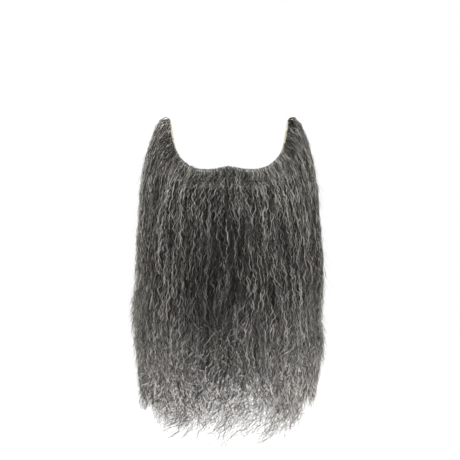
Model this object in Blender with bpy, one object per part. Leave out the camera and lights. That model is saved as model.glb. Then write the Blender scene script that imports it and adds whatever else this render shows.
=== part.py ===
"""A long fake beard: crimped grey hair knotted on a net that cups the chin and jaw.

Metres, +Z up, the front towards -Y. The origin is on the inner face of the net, at the front of the chin.
Left and right are those of someone who looks at the front of the beard.
"""

from collections import namedtuple
import math
import random

import bmesh
import bpy
from mathutils import Vector

# Driving sizes, in metres
FACE_HALF_WIDTH = 0.076
JAW_DEPTH = 0.095
SIDEBURN_RISE = 0.077
LACE_WALL = 0.0010
LACE_ROLL = 0.0006
FALL_HALF_WIDTH = 0.113
FALL_LENGTH = 0.324
CHIN_PUFF = 0.029
SIDE_SETBACK = 0.078
FALL_THICKNESS = 0.026
UNDER_THICKNESS = 0.014
UNDER_LENGTH = 0.225
ROOT_THICKNESS = 0.0018
SIDEBURN_THICKNESS = 0.0055
TIP_THICKNESS = 0.0024
RIDGE_HEIGHT = 0.0045
SWAY = 0.0026
SWAY_PERIOD = 0.130
CHIN_SPREAD_RATE = 0.030
SIDE_SPREAD_RATE = 0.046
SHORTEST_FINGER = 0.022
LONGEST_FINGER = 0.062
VALLEY_FINGER = 0.002
TUFT_LENGTH = 0.038
TUFT_THICKNESS = 0.0030
PIECE_GAP = 0.0003
LAYER_GAP = 0.0012

# How far one lock may differ from the next, as shares of the usual width and of RIDGE_HEIGHT
NARROWEST_LOCK = 0.65
WIDEST_LOCK = 1.35
LOWEST_RIDGE = 0.30
HIGHEST_RIDGE = 1.40
TIP_CLOSING = 0.75
UNDER_LOCKS = 6
TUFT_LOCKS = 3

# The hem: its rise at the outer sides as a share of FALL_LENGTH, and how sharply it turns up
HEM_RISE = 0.20
HEM_POWER = 6
UNDER_HEM_RISE = 0.50
FREE_SHARE = 0.80

# Places from side to side, where 0 is the chin and 1 the tip of a sideburn
UNDER_SIDE = 0.36
FULL_NET_SIDE = 0.65
THICKENING_SIDE = 0.60
SWAY_TURNS = 1.3
TUFT_LEFT = -0.035
TUFT_RIGHT = 0.105
TUFT_TIP_WIDTH = 0.35

# Places on the net: 0 is the cheek edge and 1 the neck edge
SEAT_PLACE = 0.27
HAIR_START = 0.08
CHIN_HAIR_STOP = 0.55
SIDE_HAIR_STOP = 0.92
UNDER_START = 0.63
UNDER_STOP = 0.93
TUFT_START = 0.02
TUFT_FOOT = 0.06

# How finely the solids are divided
LACE_COLUMNS = 40
LACE_ROWS = 6
FACE_ROWS = 5
FALL_ROWS = 9
FINGER_ROWS = 3
TUFT_ROWS = 8
STRIPS_IN_A_LOCK = 3

# The net on one half of the face, in shares of FACE_HALF_WIDTH, JAW_DEPTH and SIDEBURN_RISE.
# The edge is the cheek line, the ridge goes round the jaw, and the neck edge lies under it.
FaceRow = namedtuple(
    "FaceRow", "edge_x edge_y edge_z ridge_x ridge_y ridge_z neck_x neck_y neck_z"
)
FACE = (
    FaceRow(0.00, 0.08, 0.20, 0.00, 0.03, -0.16, 0.00, 0.44, -0.45),
    FaceRow(0.29, 0.11, 0.155, 0.32, 0.07, -0.17, 0.21, 0.46, -0.43),
    FaceRow(0.55, 0.22, 0.18, 0.58, 0.22, -0.15, 0.42, 0.55, -0.37),
    FaceRow(0.75, 0.40, 0.305, 0.76, 0.44, -0.07, 0.60, 0.69, -0.24),
    FaceRow(0.88, 0.61, 0.50, 0.87, 0.67, 0.07, 0.79, 0.86, -0.06),
    FaceRow(0.95, 0.78, 0.76, 0.96, 0.85, 0.46, 0.95, 1.00, 0.28),
    FaceRow(0.99, 0.89, 1.00, 1.00, 0.93, 0.92, 1.02, 0.99, 0.84),
)

# The outline of the fall. Depth is a share of FALL_LENGTH below the chin; left and right are shares of
# FALL_HALF_WIDTH, front of CHIN_PUFF, setback of SIDE_SETBACK and thickness of FALL_THICKNESS.
FallRow = namedtuple("FallRow", "depth left right front setback thickness")
FALL = (
    FallRow(-0.30, 0.97, 0.97, 0.80, 1.10, 0.90),
    FallRow(0.00, 0.98, 0.99, 0.95, 1.08, 1.00),
    FallRow(0.20, 0.99, 1.00, 1.05, 1.03, 1.00),
    FallRow(0.40, 1.02, 1.04, 1.05, 0.97, 0.90),
    FallRow(0.52, 1.07, 1.03, 1.00, 0.91, 0.80),
    FallRow(0.64, 1.04, 1.05, 0.95, 0.84, 0.70),
    FallRow(0.80, 1.00, 0.99, 0.90, 0.74, 0.54),
    FallRow(1.05, 0.97, 0.97, 0.85, 0.64, 0.32),
)

# The pieces of the fall, from side to side: -1 is the left sideburn's tip, 0 the chin and 1 the right tip
Piece = namedtuple("Piece", "name first_side last_side locks shade")
FALL_PIECES = (
    Piece("sideburn_hair_left", -1.00, -0.62, 8, "side"),
    Piece("cheek_hair_left", -0.62, -0.24, 8, "middle"),
    Piece("chin_hair", -0.24, 0.24, 8, "dark"),
    Piece("cheek_hair_right", 0.24, 0.62, 8, "middle"),
    Piece("sideburn_hair_right", 0.62, 1.00, 8, "side"),
)
HAIR_COLORS = {
    "side": (0.085, 0.080, 0.072, 1.0),
    "middle": (0.060, 0.057, 0.051, 1.0),
    "dark": (0.046, 0.043, 0.038, 1.0),
}
LACE_COLOR = (0.330, 0.300, 0.205, 1.0)


def clear_scene():
    for item in list(bpy.data.objects):
        bpy.data.objects.remove(item, do_unlink=True)


def finish(name, color, roughness):
    material = bpy.data.materials.new(name)
    material.use_nodes = True
    shader = material.node_tree.nodes["Principled BSDF"]
    shader.inputs["Base Color"].default_value = color
    shader.inputs["Roughness"].default_value = roughness
    shader.inputs["Metallic"].default_value = 0.0
    return material


def mix(first, second, share):
    return first + (second - first) * share


def eased(share):
    share = min(max(share, 0.0), 1.0)
    return share * share * (3.0 - 2.0 * share)


def curve_through(rows, place):
    """The columns of a table at a place between its rows, on a smooth curve through them."""
    place = min(max(place, 0.0), len(rows) - 1.0)
    row = min(int(place), len(rows) - 2)
    t = place - row
    before = rows[max(row - 1, 0)]
    after = rows[min(row + 2, len(rows) - 1)]
    columns = zip(before, rows[row], rows[row + 1], after)
    return [
        b + 0.5 * t * (c - a + t * (2 * a - 5 * b + 4 * c - d + t * (3 * (b - c) + d - a)))
        for a, b, c, d in columns
    ]


def mirrored_face():
    """The rows of both halves of the face, from the left tip to the right one."""
    left = [
        FaceRow(*(-share if name.endswith("_x") else share for name, share in zip(FaceRow._fields, row)))
        for row in reversed(FACE[1:])
    ]
    return left + list(FACE)


BOTH_HALVES = mirrored_face()


def face_place(side, across):
    """A point of the net's inner face before the seat is brought to the origin."""
    row = FaceRow(*curve_through(BOTH_HALVES, (side + 1.0) * (len(FACE) - 1)))
    at_edge = (1.0 - across) * (1.0 - 2.0 * across)
    at_ridge = 4.0 * across * (1.0 - across)
    at_neck = across * (2.0 * across - 1.0)
    shares = (
        row.edge_x * at_edge + row.ridge_x * at_ridge + row.neck_x * at_neck,
        row.edge_y * at_edge + row.ridge_y * at_ridge + row.neck_y * at_neck,
        row.edge_z * at_edge + row.ridge_z * at_ridge + row.neck_z * at_neck,
    )
    return Vector((shares[0] * FACE_HALF_WIDTH, shares[1] * JAW_DEPTH, shares[2] * SIDEBURN_RISE))


SEAT = face_place(0.0, SEAT_PLACE)


def net_point(side, across, out):
    """A point at a distance out from the net's inner face, away from the skin."""
    step = 0.01
    along = face_place(min(side + step, 1.0), across) - face_place(max(side - step, -1.0), across)
    down = face_place(side, across + step) - face_place(side, across - step)
    return face_place(side, across) - SEAT + down.cross(along).normalized() * out


def fall_row(height):
    depth = -height / FALL_LENGTH
    depths = [row.depth for row in FALL]
    if depth <= depths[0]:
        return FALL[0]
    for index in range(len(FALL) - 1):
        if depth <= depths[index + 1]:
            share = (depth - depths[index]) / (depths[index + 1] - depths[index])
            return FallRow(*curve_through(FALL, index + share))
    return FALL[-1]


def fall_point(side, height, inset):
    """A point of the hanging curtain, inset behind its front, on a bow that is open to the back."""
    row = fall_row(height)
    turn = side * math.pi / 2.0
    half = FALL_HALF_WIDTH * (row.left if side < 0.0 else row.right)
    setback = SIDE_SETBACK * row.setback
    out = Vector((setback * math.sin(turn), -half * math.cos(turn), 0.0)).normalized()
    sway = SWAY * math.sin(2.0 * math.pi * (height / SWAY_PERIOD + SWAY_TURNS * side))
    sway *= eased((SIDEBURN_RISE - height) / FALL_LENGTH)
    place = Vector((
        half * math.sin(turn) + sway * math.cos(turn),
        setback * (1.0 - math.cos(turn)) + sway * math.sin(turn) - CHIN_PUFF * row.front,
        height,
    ))
    return place - out * inset, out


def spread(side, drop):
    """How much of its way out to the curtain the hair has gone, this far below its root."""
    rate = mix(CHIN_SPREAD_RATE, SIDE_SPREAD_RATE, abs(side))
    return 1.0 - math.exp(-max(drop, 0.0) / rate)


def towards(root, target, share):
    """A point at the target's height, on the way from a root to the curtain."""
    return Vector((mix(root.x, target.x, share), mix(root.y, target.y, share), target.z))


def root_thickness(side):
    """The hair is thin along the cheek line and stands up at the points of the sideburns."""
    share = (abs(side) - THICKENING_SIDE) / (1.0 - THICKENING_SIDE)
    return mix(ROOT_THICKNESS, SIDEBURN_THICKNESS, eased(share))


def front_point(side, height, lift):
    """The front of the hair, lift above its plain surface."""
    root = net_point(side, HAIR_START, LACE_WALL + PIECE_GAP + root_thickness(side))
    if height >= root.z:
        return root
    target, out = fall_point(side, height, 0.0)
    share = spread(side, root.z - height)
    return towards(root, target, share) + out * lift * share * share


def hair_stop(side):
    """Where on the net the curtain's roots end: the whole net at the sides, its front half at the chin."""
    share = eased((abs(side) - UNDER_SIDE) / (FULL_NET_SIDE - UNDER_SIDE))
    return mix(CHIN_HAIR_STOP, SIDE_HAIR_STOP, share)


def back_point(side, stop, height, inset):
    """The back of a layer of hair whose roots end at stop on the net."""
    root = net_point(side, stop, LACE_WALL + PIECE_GAP)
    target, _ = fall_point(side, min(height, root.z), inset)
    return towards(root, target, spread(side, root.z - height))


def fall_length(side):
    """The hair is longest in the middle, so the tips make a rounded hem."""
    return FALL_LENGTH * (1.0 - HEM_RISE * abs(math.sin(side * math.pi / 2.0)) ** HEM_POWER)


Lock = namedtuple("Lock", "first last finger ridge")


def locks_of(count, seed):
    """Each lock's edges, as shares of the layer's width, its free end and its ridge, from a seeded draw."""
    draw = random.Random(seed)
    widths = [mix(NARROWEST_LOCK, WIDEST_LOCK, draw.random()) for _ in range(count)]
    locks = []
    edge = 0.0
    for width in widths:
        share = width / sum(widths)
        finger = mix(SHORTEST_FINGER, LONGEST_FINGER, draw.random())
        ridge = RIDGE_HEIGHT * mix(LOWEST_RIDGE, HIGHEST_RIDGE, draw.random())
        locks.append(Lock(edge, edge + share, finger, ridge))
        edge += share
    return locks


def column_of(locks, column):
    """One column of a layer: its share of the width in the body and at the tip, its free end and its ridge.

    A lock has a valley on each side and strips between them, which close up towards its tip.
    """
    index, strip = divmod(column, STRIPS_IN_A_LOCK)
    if index == len(locks):
        return 1.0, 1.0, VALLEY_FINGER, 0.0
    lock = locks[index]
    if strip == 0:
        return lock.first, lock.first, VALLEY_FINGER, 0.0
    across = strip / STRIPS_IN_A_LOCK
    body = mix(lock.first, lock.last, across)
    at_tip = mix(lock.first, lock.last, mix(across, 0.5, TIP_CLOSING))
    return body, at_tip, lock.finger, lock.ridge


def sheet_solid(name, columns, rows, front_at, back_at, material):
    """A closed solid from a grid: its front is bent to front_at, and the back is extruded from it."""
    form = bmesh.new()
    bmesh.ops.create_grid(form, x_segments=columns, y_segments=rows, size=0.5)
    front = form.verts[:]
    extruded = bmesh.ops.extrude_face_region(form, geom=form.faces[:])
    back = [item for item in extruded["geom"] if isinstance(item, bmesh.types.BMVert)]
    for verts, place_at in ((front, front_at), (back, back_at)):
        for vert in verts:
            column = round((vert.co.x + 0.5) * columns)
            row = round((vert.co.y + 0.5) * rows)
            vert.co = place_at(column, row)
    bmesh.ops.recalc_face_normals(form, faces=form.faces[:])
    bmesh.ops.triangulate(form, faces=form.faces[:])
    mesh = bpy.data.meshes.new(name)
    form.to_mesh(mesh)
    form.free()
    mesh.materials.append(material)
    mesh.shade_smooth()
    mesh.set_sharp_from_angle(angle=math.radians(50.0))
    made = bpy.data.objects.new(name, mesh)
    bpy.context.scene.collection.objects.link(made)
    return made


def make_lace():
    def side_of(column):
        return column / LACE_COLUMNS * 2.0 - 1.0

    def outer(column, row):
        roll = LACE_ROLL if row == 0 else 0.0
        return net_point(side_of(column), row / LACE_ROWS, LACE_WALL + roll)

    def inner(column, row):
        return net_point(side_of(column), row / LACE_ROWS, 0.0)

    net = finish("lace", LACE_COLOR, 0.8)
    return sheet_solid("lace_base", LACE_COLUMNS, LACE_ROWS, outer, inner, net)


def layer_places(first_side, last_side, locks, start, stop_at, hem_at, front_of, back_of):
    """The two place functions of a layer of hair: rows on the net, then the fall, then the free ends."""
    body_rows = FACE_ROWS + FALL_ROWS
    gap = PIECE_GAP / FACE_HALF_WIDTH

    def shape(column, row):
        body, at_tip, finger, ridge = column_of(locks, column)
        finger_share = max(row - body_rows, 0) / FINGER_ROWS
        share = mix(body, at_tip, finger_share)
        side = mix(first_side + gap, last_side - gap, share)
        hem = hem_at(side) + LONGEST_FINGER * FREE_SHARE
        stop = stop_at(side)
        if row <= FACE_ROWS:
            across = mix(start, stop, row / FACE_ROWS)
            height = net_point(side, across, LACE_WALL).z
            return side, across, height, 0.0, ridge
        top = net_point(side, stop, LACE_WALL).z
        height = mix(top, hem, min(row - FACE_ROWS, FALL_ROWS) / FALL_ROWS)
        return side, stop, height - finger * finger_share, finger_share, ridge

    def front(column, row):
        side, _, height, finger_share, ridge = shape(column, row)
        return front_of(side, height, ridge * (1.0 - FREE_SHARE * finger_share))

    def back(column, row):
        side, across, height, finger_share, _ = shape(column, row)
        if row <= FACE_ROWS:
            return net_point(side, across, LACE_WALL + PIECE_GAP)
        plain = back_of(side, height)
        ahead = front_of(side, height, 0.0)
        tip = ahead + (plain - ahead).normalized() * TIP_THICKNESS
        return mix(plain, tip, eased(finger_share))

    return front, back, body_rows + FINGER_ROWS


def hem_of_fall(side):
    return -fall_length(side)


def hem_of_under(side):
    return -UNDER_LENGTH * (1.0 - UNDER_HEM_RISE * side * side)


def make_fall(piece, seed):
    def back_of(side, height):
        thickness = FALL_THICKNESS * fall_row(height).thickness
        return back_point(side, hair_stop(side), height, thickness)

    locks = locks_of(piece.locks, seed)
    front, back, rows = layer_places(
        piece.first_side, piece.last_side, locks, HAIR_START, hair_stop, hem_of_fall, front_point, back_of
    )
    hair = finish(piece.name, HAIR_COLORS[piece.shade], 0.6)
    return sheet_solid(piece.name, piece.locks * STRIPS_IN_A_LOCK, rows, front, back, hair)


def make_under_chin():
    def inset_at(height):
        return FALL_THICKNESS * fall_row(height).thickness + LAYER_GAP + RIDGE_HEIGHT * HIGHEST_RIDGE

    def front_of(side, height, lift):
        return back_point(side, UNDER_START, height, inset_at(height) - lift)

    def back_of(side, height):
        return back_point(side, UNDER_STOP, height, inset_at(height) + UNDER_THICKNESS)

    def stop_at(side):
        return UNDER_STOP

    locks = locks_of(UNDER_LOCKS, 31)
    front, back, rows = layer_places(
        -UNDER_SIDE, UNDER_SIDE, locks, UNDER_START, stop_at, hem_of_under, front_of, back_of
    )
    hair = finish("under_chin_hair", HAIR_COLORS["dark"], 0.6)
    return sheet_solid("under_chin_hair", len(locks) * STRIPS_IN_A_LOCK, rows, front, back, hair)


def make_lip_tuft():
    """A short tuft in the middle of the lip line, lying on the chin hair."""
    locks = locks_of(TUFT_LOCKS, 47)
    clear = LACE_WALL + PIECE_GAP
    middle = (TUFT_LEFT + TUFT_RIGHT) / 2.0
    half = (TUFT_RIGHT - TUFT_LEFT) / 2.0

    def shape(column, row):
        body, at_tip, finger, ridge = column_of(locks, column)
        share = row / TUFT_ROWS
        width = half * mix(1.0, TUFT_TIP_WIDTH, share)
        side = middle + width * (2.0 * mix(body, at_tip, share) - 1.0)
        return side, share, TUFT_LENGTH * mix(FREE_SHARE, 1.0, finger / LONGEST_FINGER), ridge

    def surface(side, row, reach, lift):
        if row == 0:
            return net_point(side, TUFT_START, clear + lift)
        if row == 1:
            return net_point(side, TUFT_FOOT, clear + ROOT_THICKNESS + lift)
        root = net_point(side, HAIR_START, clear + ROOT_THICKNESS)
        height = root.z - reach * (row - 1) / (TUFT_ROWS - 1)
        _, out = fall_point(side, height, 0.0)
        highest = RIDGE_HEIGHT * HIGHEST_RIDGE * spread(side, root.z - height) ** 2
        return front_point(side, height, 0.0) + out * (highest + PIECE_GAP + lift)

    def front(column, row):
        side, share, reach, ridge = shape(column, row)
        plump = TUFT_THICKNESS * math.sin(math.pi * mix(0.2, 0.9, share))
        return surface(side, row, reach, ROOT_THICKNESS / 2.0 + plump + ridge / 3.0)

    def back(column, row):
        side, _, reach, _ = shape(column, row)
        return surface(side, row, reach, 0.0)

    hair = finish("lip_tuft", HAIR_COLORS["dark"], 0.6)
    return sheet_solid("lip_tuft", len(locks) * STRIPS_IN_A_LOCK, TUFT_ROWS, front, back, hair)


def make_beard():
    clear_scene()
    make_lace()
    for index, piece in enumerate(FALL_PIECES):
        make_fall(piece, 11 + index)
    make_under_chin()
    make_lip_tuft()


make_beard()
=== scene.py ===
# %% [markdown]
# # A long grey fake beard
# The real beard is crimped grey hair, knotted strand by strand into a net that cups the chin and runs up
# the jaw to a point in front of each ear. This notebook dresses its plain solids: a net of real threads,
# some twelve thousand strands of modelled hair, and a darker coat under them.
# Hair could be made with particles or with hair curves. Both are quick, but neither leaves a mesh that
# other programs can read, so here each strand is a thin closed rod that follows a path worked out in code.

# %% Load the solids
import functools
import math
import random
from collections import namedtuple

import bmesh
import bpy
import numpy as np
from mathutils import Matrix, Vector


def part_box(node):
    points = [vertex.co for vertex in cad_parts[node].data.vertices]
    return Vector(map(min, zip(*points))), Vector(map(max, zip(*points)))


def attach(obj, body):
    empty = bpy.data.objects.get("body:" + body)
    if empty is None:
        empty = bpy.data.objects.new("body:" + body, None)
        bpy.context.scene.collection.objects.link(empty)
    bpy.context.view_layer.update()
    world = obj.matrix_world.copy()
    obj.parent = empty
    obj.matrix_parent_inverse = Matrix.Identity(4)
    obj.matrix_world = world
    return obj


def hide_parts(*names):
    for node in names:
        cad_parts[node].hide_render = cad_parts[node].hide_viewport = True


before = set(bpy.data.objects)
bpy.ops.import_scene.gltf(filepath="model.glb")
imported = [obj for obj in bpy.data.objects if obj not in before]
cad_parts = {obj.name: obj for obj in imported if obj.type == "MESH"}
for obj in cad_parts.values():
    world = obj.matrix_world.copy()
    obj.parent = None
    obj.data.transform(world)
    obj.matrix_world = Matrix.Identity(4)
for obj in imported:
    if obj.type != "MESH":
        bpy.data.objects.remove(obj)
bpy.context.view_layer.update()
print("solids:", sorted(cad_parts))

# %% [markdown]
# ## The camera
# The beard is seen straight from the front, from far enough away that its sides don't loom. The lens
# follows from the width that the frame shows at the beard, so that width is the value that is kept.

# %% Place the camera
FRAME_WIDTH = 0.575
CAMERA_DISTANCE = 4.0
CAMERA_X = 0.00125
CAMERA_Z = -0.063
SENSOR_MM = 36.0


def add_object(name, data):
    made = bpy.data.objects.new(name, data)
    bpy.context.scene.collection.objects.link(made)
    return made


lens = bpy.data.cameras.new("camera")
lens.sensor_width = SENSOR_MM
lens.lens = SENSOR_MM * CAMERA_DISTANCE / FRAME_WIDTH
camera = add_object("camera", lens)
camera.location = (CAMERA_X, -CAMERA_DISTANCE, CAMERA_Z)
camera.rotation_euler = (math.radians(90.0), 0.0, 0.0)
bpy.context.scene.camera = camera
print(f"lens {lens.lens:.0f} mm")

# %% [markdown]
# ## The form of the net
# The net is the one piece with a fixed shape, and all of the hair starts on it. It could be traced from
# its solid, but the strands need a way to ask for any point on it. So a short table gives three lines
# that run from the chin to the tip, as shares of the net's half width, depth and rise, and a curve
# through them gives every point between. The sizes come from the net's solid.

# %% The net's surface
LACE_WALL = 0.0010
WIDEST_NET = 1.02
lace_low, lace_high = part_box("lace_base")
NET_SIZE = np.array((
    (lace_high[0] - LACE_WALL) / WIDEST_NET,
    lace_high[1] - LACE_WALL,
    lace_high[2],
))
SEAT_PLACE = 0.27
STEP = 0.01

# Columns: edge x y z, ridge x y z, neck x y z, from the chin to the tip of the sideburn
FACE = np.array((
    (0.00, 0.08, 0.20, 0.00, 0.03, -0.16, 0.00, 0.44, -0.45),
    (0.29, 0.11, 0.155, 0.32, 0.07, -0.17, 0.21, 0.46, -0.43),
    (0.55, 0.22, 0.18, 0.58, 0.22, -0.15, 0.42, 0.55, -0.37),
    (0.75, 0.40, 0.305, 0.76, 0.44, -0.07, 0.60, 0.69, -0.24),
    (0.88, 0.61, 0.50, 0.87, 0.67, 0.07, 0.79, 0.86, -0.06),
    (0.95, 0.78, 0.76, 0.96, 0.85, 0.46, 0.95, 1.00, 0.28),
    (0.99, 0.89, 1.00, 1.00, 0.93, 0.92, 1.02, 0.99, 0.84),
))
OTHER_HALF = np.array((-1.0, 1.0, 1.0) * 3)
BOTH_HALVES = np.concatenate((FACE[:0:-1] * OTHER_HALF, FACE))


def rows_at(table, place):
    """A table's columns at places between its rows, on a smooth curve through them."""
    place = np.clip(place, 0.0, len(table) - 1.0)
    row = np.minimum(place.astype(int), len(table) - 2)
    t = (place - row)[..., None]
    a, b, c, d = (table[np.clip(row + step, 0, len(table) - 1)] for step in (-1, 0, 1, 2))
    return b + 0.5 * t * (c - a + t * (2 * a - 5 * b + 4 * c - d + t * (3 * (b - c) + d - a)))


def unit(vectors):
    return vectors / np.maximum(np.linalg.norm(vectors, axis=-1, keepdims=True), 1e-12)


def face_place(side, across):
    """The net's inner face: side runs from -1 at the left tip to 1, across from cheek edge to neck."""
    side, across = np.broadcast_arrays(side, across)
    row = rows_at(BOTH_HALVES, (side + 1.0) * (len(FACE) - 1))
    v = across[..., None]
    edge = row[..., 0:3] * (1.0 - v) * (1.0 - 2.0 * v)
    ridge = row[..., 3:6] * 4.0 * v * (1.0 - v)
    neck = row[..., 6:9] * v * (2.0 * v - 1.0)
    return (edge + ridge + neck) * NET_SIZE


SEAT = face_place(np.float64(0.0), np.float64(SEAT_PLACE))


def net_point(side, across, out=0.0):
    """A point at a distance out from the net's inner face, away from the skin."""
    side, across, out = np.broadcast_arrays(side, across, out)
    ahead = face_place(np.minimum(side + STEP, 1.0), across)
    along = ahead - face_place(np.maximum(side - STEP, -1.0), across)
    down = face_place(side, across + STEP) - face_place(side, across - STEP)
    return face_place(side, across) - SEAT + unit(np.cross(down, along)) * out[..., None]


print("net size in mm:", np.round(NET_SIZE * 1000.0, 1))

# %% [markdown]
# ## The form of the fall
# Below the chin the hair hangs as a curtain that is bowed round the throat, open to the back. A second
# table gives its outline at eight heights. A strand starts on the net, and the further it drops the
# closer it comes to its own line on the curtain, which is how real hair lies: it leaves the cheek
# slantwise and then hangs.

# %% The curtain's surface
RIDGE_HEIGHT = 0.0045
USUAL_RIDGE = 0.9
WIDEST_LEFT = 1.07
WIDEST_RIGHT = 1.05
FURTHEST_FRONT = 1.05
chin_low, chin_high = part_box("chin_hair")
left_low, left_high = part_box("sideburn_hair_left")
right_low, right_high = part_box("sideburn_hair_right")
ridge = RIDGE_HEIGHT * USUAL_RIDGE
FALL_HALF_WIDTH = (right_high[0] - left_low[0] - 2.0 * ridge) / (WIDEST_LEFT + WIDEST_RIGHT)
CHIN_PUFF = (-chin_low[1] - ridge) / FURTHEST_FRONT
LOWEST_TIP = -chin_low[2]
FALL_LENGTH = LOWEST_TIP - 0.006
SIDE_SETBACK = 0.078
FALL_THICKNESS = 0.026
SWAY = 0.0026
SWAY_PERIOD = 0.130
SWAY_TURNS = 1.3
CHIN_SPREAD_RATE = 0.030
SIDE_SPREAD_RATE = 0.046
HEM_RISE = 0.20
HEM_POWER = 6

# Columns: depth as a share of the fall's length, then the shares of the half width to the left and
# right, of the puff in front of the chin, of the setback of the sides, and of the thickness
FALL = np.array((
    (-0.30, 0.97, 0.97, 0.80, 1.10, 0.90),
    (0.00, 0.98, 0.99, 0.95, 1.08, 1.00),
    (0.20, 0.99, 1.00, 1.05, 1.03, 1.00),
    (0.40, 1.02, 1.04, 1.05, 0.97, 0.90),
    (0.52, 1.07, 1.03, 1.00, 0.91, 0.80),
    (0.64, 1.04, 1.05, 0.95, 0.84, 0.70),
    (0.80, 1.00, 0.99, 0.90, 0.74, 0.54),
    (1.05, 0.97, 0.97, 0.85, 0.64, 0.32),
))


def mix(first, second, share):
    return first + (second - first) * share


def eased(share):
    share = np.clip(share, 0.0, 1.0)
    return share * share * (3.0 - 2.0 * share)


def fall_row(height):
    return rows_at(FALL, np.interp(-height / FALL_LENGTH, FALL[:, 0], np.arange(len(FALL))))


def thickness_at(height):
    return FALL_THICKNESS * fall_row(height)[..., 5]


def fall_point(side, height, inset):
    """A point of the curtain, inset behind its front, and the direction that faces out there."""
    side, height, inset = np.broadcast_arrays(side, height, inset)
    row = fall_row(height)
    turn = side * math.pi / 2.0
    half = FALL_HALF_WIDTH * np.where(side < 0.0, row[..., 1], row[..., 2])
    setback = SIDE_SETBACK * row[..., 4]
    out = unit(np.stack((setback * np.sin(turn), -half * np.cos(turn), 0.0 * turn), axis=-1))
    sway = SWAY * np.sin(2.0 * math.pi * (height / SWAY_PERIOD + SWAY_TURNS * side))
    sway = sway * eased((NET_SIZE[2] - height) / FALL_LENGTH)
    place = np.stack((
        half * np.sin(turn) + sway * np.cos(turn),
        setback * (1.0 - np.cos(turn)) + sway * np.sin(turn) - CHIN_PUFF * row[..., 3],
        height,
    ), axis=-1)
    return place - out * inset[..., None], out


def spread(side, drop):
    """How much of its way out to the curtain the hair has gone, this far below its root."""
    rate = mix(CHIN_SPREAD_RATE, SIDE_SPREAD_RATE, np.abs(side))
    return 1.0 - np.exp(-np.maximum(drop, 0.0) / rate)


def fall_length(side):
    """The hair is longest in the middle, so the tips make a rounded hem."""
    return FALL_LENGTH * (1.0 - HEM_RISE * np.abs(np.sin(side * math.pi / 2.0)) ** HEM_POWER)


fall_sizes = np.array((FALL_HALF_WIDTH, CHIN_PUFF, FALL_LENGTH)) * 1000.0
print("half width, puff and length in mm:", np.round(fall_sizes, 1))

# %% [markdown]
# ## Locks
# The solids are divided into locks of uneven width, each with its own free end and its own ridge. The
# strands are to keep that form, so the same seeded draw is made again here. Within a lock the strands
# gather in a few clumps, and these are what the eye takes for single curls.

# %% Draw the locks
NARROWEST_LOCK = 0.65
WIDEST_LOCK = 1.35
LOWEST_RIDGE = 0.30
HIGHEST_RIDGE = 1.40
SHORTEST_FINGER = 0.022
LONGEST_FINGER = 0.062
FREE_SHARE = 0.80
UNDER_SIDE = 0.36
FULL_NET_SIDE = 0.65
CHIN_HAIR_STOP = 0.55
SIDE_HAIR_STOP = 0.92

Piece = namedtuple("Piece", "name first_side last_side locks seed")
FALL_PIECES = (
    Piece("sideburn_hair_left", -1.00, -0.62, 8, 11),
    Piece("cheek_hair_left", -0.62, -0.24, 8, 12),
    Piece("chin_hair", -0.24, 0.24, 8, 13),
    Piece("cheek_hair_right", 0.24, 0.62, 8, 14),
    Piece("sideburn_hair_right", 0.62, 1.00, 8, 15),
)


def locks_of(piece):
    """One row for each lock: both edges as shares of the layer's width, the free end and the ridge."""
    draw = random.Random(piece.seed)
    widths = [mix(NARROWEST_LOCK, WIDEST_LOCK, draw.random()) for _ in range(piece.locks)]
    rows = []
    edge = 0.0
    for width in widths:
        share = width / sum(widths)
        finger = mix(SHORTEST_FINGER, LONGEST_FINGER, draw.random())
        lift = RIDGE_HEIGHT * mix(LOWEST_RIDGE, HIGHEST_RIDGE, draw.random())
        rows.append((edge, edge + share, finger, lift))
        edge += share
    return np.array(rows)


def hair_stop(side):
    """Where on the net the roots end: half way down at the chin, near the edge at the sides."""
    share = eased((np.abs(side) - UNDER_SIDE) / (FULL_NET_SIDE - UNDER_SIDE))
    return mix(CHIN_HAIR_STOP, SIDE_HAIR_STOP, share)


print("locks:", sum(piece.locks for piece in FALL_PIECES))

# %% [markdown]
# ## One strand as a mesh
# A real hair is far too thin to model, so each rod stands for a small tress, about half a
# millimetre thick. Three sides are enough at that size. A cone with equal ends is cut across as often as
# the path has points, and its end faces are drawn out to points. Thousands of copies are then bent along
# their paths with arrays, because an operator for each copy would take minutes.

# %% A rod and its copies
LANES = 48
LANE_MARGIN = 0.15


@functools.lru_cache(maxsize=None)
def rod(points):
    """A three-sided rod along this many points: each vertex's point and turn, the faces and their map."""
    form = bmesh.new()
    bmesh.ops.create_cone(
        form, cap_ends=True, cap_tris=True, segments=3, radius1=1.0, radius2=1.0, depth=points - 3
    )
    upright = [edge for edge in form.edges if abs(edge.verts[0].co.z - edge.verts[1].co.z) > 0.5]
    bmesh.ops.subdivide_edges(form, edges=upright, cuts=points - 4)
    bmesh.ops.triangulate(form, faces=form.faces[:])
    form.verts.index_update()
    middle = (points - 1) / 2.0
    step, turn, wide = [], [], []
    for vert in form.verts:
        at_end = vert.co.xy.length < 0.5
        step.append(round(vert.co.z + middle + (math.copysign(1.0, vert.co.z) if at_end else 0.0)))
        turn.append(round(math.atan2(vert.co.y, vert.co.x) / math.tau * 3.0 - 0.25 * 3.0) % 3 / 3.0)
        wide.append(0.0 if at_end else 1.0)
    faces = np.array([[vert.index for vert in face.verts] for face in form.faces])
    form.free()
    step, turn, wide = np.array(step), np.array(turn), np.array(wide)
    u = turn[faces]
    on_ring = wide[faces] > 0.5
    highest = np.where(on_ring, u, -1.0).max(axis=1, keepdims=True)
    lowest = np.where(on_ring, u, 2.0).min(axis=1, keepdims=True)
    u = np.where((highest - lowest > 0.5) & (u < 0.5), u + 1.0, u)
    middle_u = np.where(on_ring, u, 0.0).sum(axis=1, keepdims=True) / on_ring.sum(axis=1, keepdims=True)
    u = np.where(on_ring, u, middle_u)
    return step, turn, wide, faces, u, step[faces] / (points - 1)


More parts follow.
